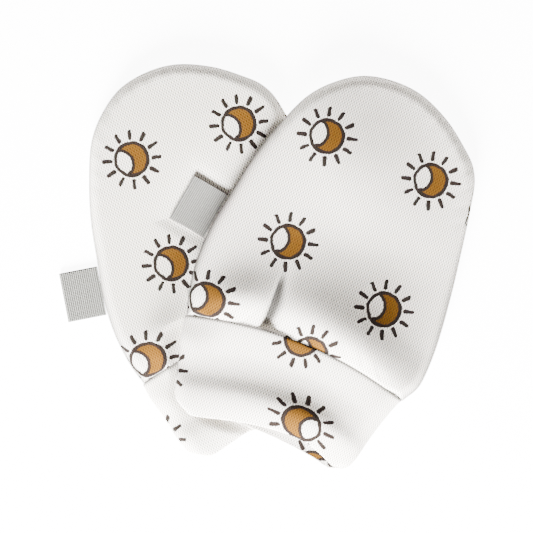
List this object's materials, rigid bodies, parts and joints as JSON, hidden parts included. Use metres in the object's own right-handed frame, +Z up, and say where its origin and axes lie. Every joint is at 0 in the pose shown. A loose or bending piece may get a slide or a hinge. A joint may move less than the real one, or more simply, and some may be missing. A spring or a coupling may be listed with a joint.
{
  "type": "pair of baby mittens",
  "caption": "Thumbless newborn mittens in sun-printed cotton knit, laid flat across each other, each a seamed pouch with a deep cuff and a side tag.",
  "frame": {"origin": "on the surface that the pair lies on, under the middle of the pair", "axes": "+Z up from the surface, +Y from the cuffs towards the fingertips, +X to the right as seen from above"},
  "size_m": [0.1338, 0.1306, 0.0121],
  "materials": {
    "printed_interlock": "matte knitted cotton with a printed motif",
    "tag_ribbon": "matte woven ribbon"
  },
  "bodies": {
    "root": {"lower_front_panel": "printed_interlock", "lower_back_panel": "printed_interlock", "lower_cuff": "printed_interlock", "lower_tag": "tag_ribbon", "upper_front_panel": "printed_interlock", "upper_back_panel": "printed_interlock", "upper_cuff": "printed_interlock", "upper_tag": "tag_ribbon"}
  },
  "joints": []
}
